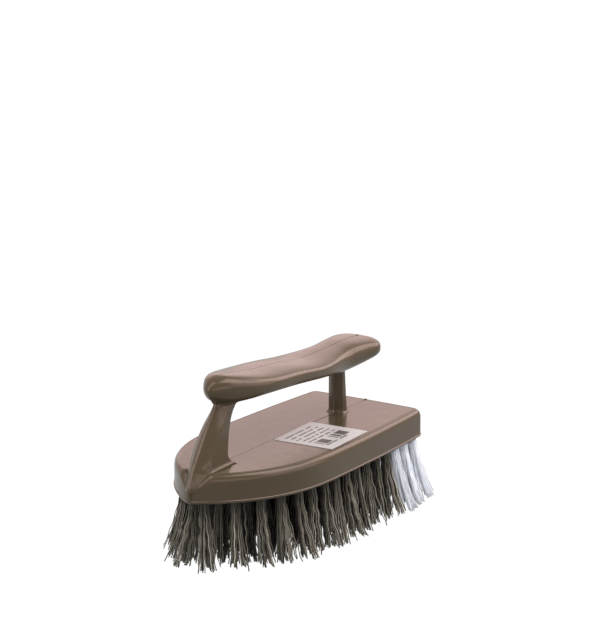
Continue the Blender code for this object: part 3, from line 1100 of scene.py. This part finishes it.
boolean(body, make_hole_cutter(), "DIFFERENCE")
body.data.set_sharp_from_angle(angle=SHARP_ANGLE)
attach(body, "root")
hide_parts("moulded_body")
holes = sum(len(tuft_places(row)[0]) for row in range(ROWS))
print("holes:", holes, "body faces:", len(body.data.polygons))

# %% [markdown]
# ## Printing
#
# The sticker has plain printing: rows of short dashes and a block of bars, which stand for no
# words and no code. An image of print would need a picture file, and modelled dashes hundreds of
# faces. Here the material works the print out from the label's own sides: a repeated band gives
# the lines, and noise that is cut at a level breaks each line into dashes of chance length.

# %% Helpers for printing
WORDS_PER_SIDE = 11.0
WORD_LEVEL = 0.46
BAR_LEVEL = 0.4


def inside(tree, local, along, across):
    """1 inside a rectangle of the label, whose two ranges are shares of its sides."""
    mask = 1.0
    for axis, (low, high) in enumerate((along, across)):
        band = add_node(
            tree,
            "ShaderNodeMath",
            {0: local.outputs[axis], 1: (low + high) / 2, 2: (high - low) / 2},
            operation="COMPARE",
        )
        mask = add_node(tree, "ShaderNodeMath", {0: band, 1: mask}, operation="MULTIPLY")
    return mask


def print_lines(tree, local, rows_per_side=10.0, line_share=0.34, first_line=0.47):
    """Broken lines of print, with each row's dashes in other places."""
    rows = add_node(
        tree,
        "ShaderNodeMath",
        {0: local.outputs["Y"], 1: rows_per_side, 2: first_line},
        operation="MULTIPLY_ADD",
    )
    height = add_node(tree, "ShaderNodeMath", {0: rows}, operation="FRACT")
    line = add_node(tree, "ShaderNodeMath", {0: height, 1: line_share}, operation="LESS_THAN")
    number = add_node(tree, "ShaderNodeMath", {0: rows}, operation="FLOOR")
    spot = add_node(tree, "ShaderNodeCombineXYZ", {0: local.outputs["X"], 1: number})
    words = add_node(
        tree, "ShaderNodeTexNoise", {"Vector": spot, "Scale": WORDS_PER_SIDE, "Detail": 2.0}
    )
    dash = add_node(
        tree,
        "ShaderNodeMath",
        {0: words.outputs["Fac"], 1: WORD_LEVEL},
        operation="GREATER_THAN",
    )
    return add_node(tree, "ShaderNodeMath", {0: line, 1: dash}, operation="MULTIPLY")


def print_bars(tree, local, bars_per_side=30.0):
    """Upright bars, of which chance leaves some out, so that their widths and gaps vary."""
    places = add_node(
        tree, "ShaderNodeMath", {0: local.outputs["X"], 1: bars_per_side}, operation="MULTIPLY"
    )
    number = add_node(tree, "ShaderNodeMath", {0: places}, operation="FLOOR")
    chance = add_node(tree, "ShaderNodeTexWhiteNoise", {"W": number}, noise_dimensions="1D")
    return add_node(
        tree,
        "ShaderNodeMath",
        {0: chance.outputs["Value"], 1: BAR_LEVEL},
        operation="GREATER_THAN",
    )


# %% [markdown]
# ## Label paper
#
# Labels are coated paper, pressed smooth, so the sticker is neither glossy nor quite matt, and it
# is a little greyer than pure white. A flat colour would look like plastic. The fibres are too
# fine to show, so they are drawn coarser, as soft specks between two close greys. A Mapping node
# lays the print on the label, whatever its place and turn: the label's sides then run from -0.5
# to 0.5, and an area of print is a range along each.

# %% Label paper
LABEL_LENGTH = 33.4 * MM
LABEL_WIDTH = 30.2 * MM
LABEL_MIDDLE = (9 * MM, -15 * MM)
LABEL_TURN = math.radians(2.8)
INK = 0.88
FIBRE_SIZE = 0.8 * MM


def make_label_paper():
    material, tree, shader = new_material("coated label paper")
    place = add_node(tree, "ShaderNodeTexCoord").outputs["Object"]
    flat = add_node(
        tree,
        "ShaderNodeMapping",
        {
            "Vector": place,
            "Location": (*LABEL_MIDDLE, 0.0),
            "Rotation": (0.0, 0.0, LABEL_TURN),
            "Scale": (LABEL_LENGTH, LABEL_WIDTH, 1.0),
        },
        vector_type="TEXTURE",
    )
    local = add_node(tree, "ShaderNodeSeparateXYZ", {0: flat})
    lines, bars = print_lines(tree, local), print_bars(tree, local)
    ink = 0.0
    for pattern, along, across in (
        (lines, (-0.40, 0.33), (-0.05, 0.41)),
        (bars, (-0.37, 0.34), (-0.29, -0.10)),
        (lines, (-0.41, 0.20), (-0.36, -0.31)),
    ):
        area = inside(tree, local, along, across)
        part = add_node(tree, "ShaderNodeMath", {0: pattern, 1: area}, operation="MULTIPLY")
        ink = add_node(tree, "ShaderNodeMath", {0: part, 1: ink}, operation="MAXIMUM")
    ink = add_node(tree, "ShaderNodeMath", {0: ink, 1: INK}, operation="MULTIPLY")
    fibre = add_node(
        tree, "ShaderNodeTexNoise", {"Vector": place, "Scale": 1 / FIBRE_SIZE, "Detail": 3.0}
    )
    paper = add_node(
        tree,
        "ShaderNodeMix",
        {"Factor": fibre.outputs["Fac"], 6: paint("#CBC6C5"), 7: paint("#D6D2D1")},
        data_type="RGBA",
    )
    printed = add_node(
        tree,
        "ShaderNodeMix",
        {"Factor": ink, 6: paper.outputs[2], 7: paint("#1E1A1C")},
        data_type="RGBA",
    )
    tree.links.new(printed.outputs[2], shader.inputs["Base Color"])
    shader.inputs["Roughness"].default_value = 0.45
    return material


label_paper = make_label_paper()
print("made", label_paper.name)

# %% [markdown]
# ## Price sticker
#
# The sticker lies a little askew on the block's top. One flat face would do for a picture, but a
# reusable part needs closed solids, so it is a thin box with its four upright edges beveled. It
# lies a hair above the plastic, because two surfaces in one place would flicker.

# %% Price sticker
LABEL_THICKNESS = 0.2 * MM
LABEL_LIFT = 0.01 * MM
LABEL_CORNER = 0.5 * MM


def make_label():
    bm = bmesh.new()
    bmesh.ops.create_cube(bm, size=1.0)
    bmesh.ops.scale(bm, vec=(LABEL_LENGTH, LABEL_WIDTH, LABEL_THICKNESS), verts=bm.verts)
    heights = [(e, abs(e.verts[0].co.z - e.verts[1].co.z)) for e in bm.edges]
    corners = [edge for edge, height in heights if height > LABEL_THICKNESS / 2]
    bmesh.ops.bevel(
        bm, geom=corners, offset=LABEL_CORNER, segments=4, profile=0.5, affect="EDGES", material=-1
    )
    turn = Matrix.Rotation(LABEL_TURN, 3, "Z")
    bmesh.ops.rotate(bm, cent=(0.0, 0.0, 0.0), matrix=turn, verts=bm.verts)
    lift = BLOCK_TOP + LABEL_LIFT + LABEL_THICKNESS / 2
    bmesh.ops.translate(bm, vec=(*LABEL_MIDDLE, lift), verts=bm.verts)
    return put_in_scene("price_sticker", bm, label_paper)


label = make_label()
label.data.set_sharp_from_angle(angle=SHARP_ANGLE)
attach(label, "root")
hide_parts("price_label")
print("label, mm:", round(LABEL_LENGTH / MM, 1), "by", round(LABEL_WIDTH / MM, 1))

# %% [markdown]
# ## Filament
#
# Brush filament is extruded nylon or polypropylene, pressed between toothed wheels while warm,
# which leaves the regular crimp. No two strands are quite alike. A material for each shade would
# mean dozens of them, so each strand carries a number instead, in an attribute on its points, and
# a colour ramp turns that number into a darker or lighter strand. The same number also carries
# painted shade, as darker roots and inner tufts. The taupe strands are opaque.
# Light soaks into the white ones and from one into the next, which subsurface scattering gives.

# %% Filament materials
STREAK_SIZE = 1.5 * MM
STREAK_STRENGTH = 0.2
DARK_AT, MIDDLE_AT, LIGHT_AT = 0.1, 0.4, 0.8
WHITE_SCATTER = 3 * MM


def make_filament(name, colours, roughness, soak=0.0, scatter=MM):
    """Filament with colours for dark (also painted shade), middling, light and odd strands; soak
    lets light in.
    """
    material, tree, shader = new_material(name)
    dark, middle, light, odd = (paint(colour) for colour in colours)
    tone = add_node(tree, "ShaderNodeAttribute", attribute_name="tone")
    place = add_node(tree, "ShaderNodeTexCoord").outputs["Object"]
    streaks = add_node(
        tree, "ShaderNodeTexNoise", {"Vector": place, "Scale": 1 / STREAK_SIZE, "Detail": 2.0}
    )
    mixed = add_node(
        tree,
        "ShaderNodeMath",
        {0: streaks.outputs["Fac"], 1: STREAK_STRENGTH, 2: tone.outputs["Fac"]},
        operation="MULTIPLY_ADD",
    )
    # The ramp's dark end also shows the painted shade of roots and inner tufts.
    ramp = add_node(tree, "ShaderNodeValToRGB", {"Fac": mixed.outputs[0]})
    ramp.color_ramp.elements[0].position = DARK_AT
    ramp.color_ramp.elements[0].color = dark
    ramp.color_ramp.elements[1].color = odd
    ramp.color_ramp.elements.new(MIDDLE_AT).color = middle
    ramp.color_ramp.elements.new(LIGHT_AT).color = light
    tree.links.new(ramp.outputs["Color"], shader.inputs["Base Color"])
    shader.inputs["Roughness"].default_value = roughness
    shader.subsurface_method = "BURLEY"
    shader.inputs["Subsurface Weight"].default_value = soak
    shader.inputs["Subsurface Radius"].default_value = (1.0, 1.0, 1.0)
    shader.inputs["Subsurface Scale"].default_value = scatter
    return material


taupe_filament = make_filament(
    "crimped taupe filament", ("#12100B", "#746E5F", "#AEA99C", "#E6DFC8"), roughness=0.28
)
white_filament = make_filament(
    "crimped white filament",
    ("#CBCFD7", "#D0D3DA", "#D5D7DD", "#DADCE0"),
    roughness=0.6,
    soak=1.0,
    scatter=WHITE_SCATTER,
)
print("made", taupe_filament.name, "and", white_filament.name)

# %% [markdown]
# ## One strand
#
# Hair curves would be quick, but a reusable model needs real faces. One strand is modelled once,
# as a thin four-sided rod cut into short lengths, with a radius of 1 and each ring at a whole
# number up. Every strand of the brush is a copy of it, whose rings are moved onto that strand's
# own path.

# %% One straight strand
STRAND_STEPS = 15
STRAND_SIDES = 4


def make_strand():
    bm = bmesh.new()
    bmesh.ops.create_circle(bm, cap_ends=True, segments=STRAND_SIDES, radius=1.0)
    ring = bm.edges[:]
    for step in range(STRAND_STEPS):
        made = bmesh.ops.extrude_edge_only(bm, edges=ring)["geom"]
        fresh = [v for v in made if isinstance(v, bmesh.types.BMVert)]
        for vert in fresh:
            vert.co.z = step + 1
        ring = edges_between(made, fresh)
    bmesh.ops.contextual_create(bm, geom=ring)
    bmesh.ops.recalc_face_normals(bm, faces=bm.faces)
    mesh = bpy.data.meshes.new("strand")
    bm.to_mesh(mesh)
    bm.free()
    mesh.shade_smooth()
    return mesh


strand = make_strand()
print("faces in a strand:", len(strand.polygons))

# %% [markdown]
# ## A strand's path
#
# A strand comes out of its hole, fans outwards and waves with the crimp. It could be a curve
# object with a round bevel, but thousands of those are slow to turn into meshes. Here one
# function works out the middle of each ring, and a second one moves the rings of a straight
# strand there and writes a tone on each of its points, darker at the root as painted shade.

# %% Path of a strand
FAN_CURVE = 1.5
CRIMP_STEEPNESS = 4
ROOT_SHADE_LENGTH = 1.6


def strand_path(root, tip, wave):
    """The middle of each ring of one strand, from its root down to its tip."""
    path = []
    for step in range(STRAND_STEPS + 1):
        share = step / STRAND_STEPS
        point = root.lerp(tip, share)
        bend = share**FAN_CURVE - share
        point.x += (tip.x - root.x) * bend
        point.y += (tip.y - root.y) * bend
        turns = share * (root.z - tip.z) / wave["length"]
        growing = ease(share * CRIMP_STEEPNESS)
        swing = wave["size"] * growing * math.sin(wave["phase"] + 2 * math.pi * turns)
        point.x += swing * math.cos(wave["heading"])
        point.y += swing * math.sin(wave["heading"])
        path.append(point)
    return path


def add_strand(bm, tone, path, radius, tones_with_root_shade, twist):
    """Lay a copy of the strand along a path, toned from root to tip; a darker root is painted
    shade.
    """
    start = len(bm.verts)
    bm.from_mesh(strand)
    bm.verts.ensure_lookup_table()
    for vert in bm.verts[start:]:
        flat = math.atan2(vert.co.y, vert.co.x) + twist
        step = round(vert.co.z)
        vert.co = path[step] + Vector((math.cos(flat), math.sin(flat), 0.0)) * radius
        # The tone runs from the darker root tone to the tip tone: painted shade at the root.
        along = ease(ROOT_SHADE_LENGTH * step / STRAND_STEPS)
        vert[tone] = tones_with_root_shade[0] + (tones_with_root_shade[1] - tones_with_root_shade[0]) * along


# %% [markdown]
# ## Locks
#
# Filaments cling together, so a tuft opens into a few locks, and the strands of one lock wave in
# step. If chance moved each strand by itself, the tufts would melt into an even fur. So the
# numbers that give a wave are drawn once for each lock, and its strands differ only a little.

# %% Locks
LOCKS = 4
LOCK_TURN_SHARE = 0.3
LOCK_OPENING = 1.6 * MM
LOCK_OPENING_SHARES = (0.5, 1.3)
LOCK_SHORTER = 1.2 * MM
LOCK_PHASE_SPREAD = 0.7
LOCK_HEADING_SPREAD = 0.5
CRIMP_LENGTH = 8 * MM
CRIMP_LENGTH_SHARES = (0.85, 1.25)
CRIMP_SIZE_SHARES = (0.7, 1.2)


def make_lock(rng, tuft_phase, number, crimp):
    """What the strands of one lock share: where it opens to, how it waves and how short it is."""
    turn = 2 * math.pi * (number + rng.uniform(-LOCK_TURN_SHARE, LOCK_TURN_SHARE)) / LOCKS
    opening = LOCK_OPENING * rng.uniform(*LOCK_OPENING_SHARES)
    return {
        "shift": Vector((opening * math.cos(turn), opening * math.sin(turn), 0.0)),
        "shorter": LOCK_SHORTER * rng.random(),
        "phase": tuft_phase + rng.gauss(0.0, LOCK_PHASE_SPREAD),
        "heading": tuft_phase * 2 + rng.gauss(0.0, LOCK_HEADING_SPREAD),
        "length": CRIMP_LENGTH * rng.uniform(*CRIMP_LENGTH_SHARES),
        "size": crimp * rng.uniform(*CRIMP_SIZE_SHARES),
    }


# %% [markdown]
# ## Rows of tufts
#
# Each row across the block is one piece. Its tufts lean outwards, most at the block's edge, a few
# stray strands leave their lock, and each strand ends a little short or long of its neighbours.
# Little light gets down between the tufts, and the photograph shows them nearly black there, so
# roots and inner tufts also take darker tones: painted shade in the strands' colour. The white
# tufts hold more strands, with shallower waves, and keep one tone from root to tip. Copies of one
# row would be quicker, but the eye finds the repeat. Each row has its own seed of chance, so it
# comes out the same each time.

# %% Rows of tufts
# root_shade darkens a strand's root tone against its tip: painted shade, and 1 means none.
TAUPE = {
    "strands": 34,
    "radius": 0.27 * MM,
    "crimp": 0.36 * MM,
    "root_shade": 0.15,
    "fan": 1.0,
    "stray": 0.12,
    "stray_fan": 4.0,
}
WHITE = {
    "strands": 80,
    "radius": 0.31 * MM,
    "crimp": 0.25 * MM,
    "root_shade": 1.0,
    "fan": 2.2,
    "stray": 0.03,
    "stray_fan": 1.4,
}
FIRST_SEED = 100
GOLDEN_ANGLE = math.radians(137.5)
ROOT_CLEARANCE = 0.2 * MM
BRISTLE_ROOT = BLOCK_BOTTOM + HOLE_DEPTH - ROOT_CLEARANCE
SPLAY = 4.6 * MM
LEAN = 1.0 * MM
FAN_SHARES = (0.3, 0.8)
STRAND_PHASE_SPREAD = 0.25
TIP_SCATTER = 0.25 * MM
LONGEST = 0.3 * MM
STRAND_SHORTER = 1.6 * MM
MEAN_TONE = 0.34
TONE_SPREAD = 0.27
LIGHTEST_TONE = 0.65
ODD_TONE = 1.0
ODD_SHARE = 0.003
INNER_PAINTED_SHADE = 0.45
INNER_SHADE_STEEPNESS = 3
NOSE_ROWS = 4
TAUPE_ROWS = ROWS - WHITE_ROWS


def splayed(place, limit):
    """How far a tuft's tips lean outwards, most at the edge of the block."""
    return SPLAY * (place / limit) ** 3


def make_tuft_row(name, row, kind, material):
    """All the strands of one row, as one mesh with a tone on each point."""
    rng = random.Random(FIRST_SEED + row)
    bm = bmesh.new()
    tone = bm.verts.layers.float.new("tone")
    places, reach = tuft_places(row)
    for place in places:
        tuft_phase = rng.uniform(0.0, 2 * math.pi)
        lean = Vector((splayed(row_x(row), REAR_X), splayed(place, reach), 0.0))
        lean += Vector((rng.gauss(0.0, LEAN), rng.gauss(0.0, LEAN), 0.0))
        locks = [make_lock(rng, tuft_phase, number, kind["crimp"]) for number in range(LOCKS)]
        for k in range(kind["strands"]):
            radius = (HOLE_RADIUS - kind["radius"]) * math.sqrt((k + 0.5) / kind["strands"])
            turn = (GOLDEN_ANGLE * k) % (2 * math.pi)
            lock = locks[round(turn / (2 * math.pi) * LOCKS) % LOCKS]
            offset = Vector((radius * math.cos(turn), radius * math.sin(turn), 0.0))
            fan = kind["fan"] * rng.uniform(*FAN_SHARES)
            fan *= kind["stray_fan"] if rng.random() < kind["stray"] else 1.0
            root = Vector((row_x(row), place, BRISTLE_ROOT)) + offset
            tip = root + lean + lock["shift"] + offset * fan
            tip += Vector((rng.gauss(0.0, TIP_SCATTER), rng.gauss(0.0, TIP_SCATTER), 0.0))
            tip.z = LONGEST + lock["shorter"] + STRAND_SHORTER * rng.random() ** 2
            wave = dict(lock, phase=lock["phase"] + rng.gauss(0.0, STRAND_PHASE_SPREAD))
            # Inner tufts, away from the block's sides and nose, are darkened: painted shade.
            inner_shade = ease(INNER_SHADE_STEEPNESS * (1 - abs(place) / reach)) * ease(row / NOSE_ROWS)
            own_tone_and_shade = rng.gauss(MEAN_TONE, TONE_SPREAD) - INNER_PAINTED_SHADE * inner_shade
            own_tone_and_shade = min(max(own_tone_and_shade, 0.0), LIGHTEST_TONE)
            if rng.random() < ODD_SHARE:
                own_tone_and_shade = ODD_TONE
            tones_with_root_shade = (own_tone_and_shade * kind["root_shade"], own_tone_and_shade)
            twist = rng.uniform(0.0, 2 * math.pi)
            add_strand(bm, tone, strand_path(root, tip, wave), kind["radius"], tones_with_root_shade, twist)
    return put_in_scene(name, bm, material)


strand_total = 0
for row in range(ROWS):
    if row < TAUPE_ROWS:
        colour, number, kind, material = "taupe", row + 1, TAUPE, taupe_filament
    else:
        colour, number, kind, material = "white", row + 1 - TAUPE_ROWS, WHITE, white_filament
    tufts = make_tuft_row(f"{colour}_tufts_{number:02d}", row, kind, material)
    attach(tufts, "root")
    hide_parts(f"{colour}_row_{number:02d}")
    strand_total += len(tuft_places(row)[0]) * kind["strands"]
print("strands:", strand_total)
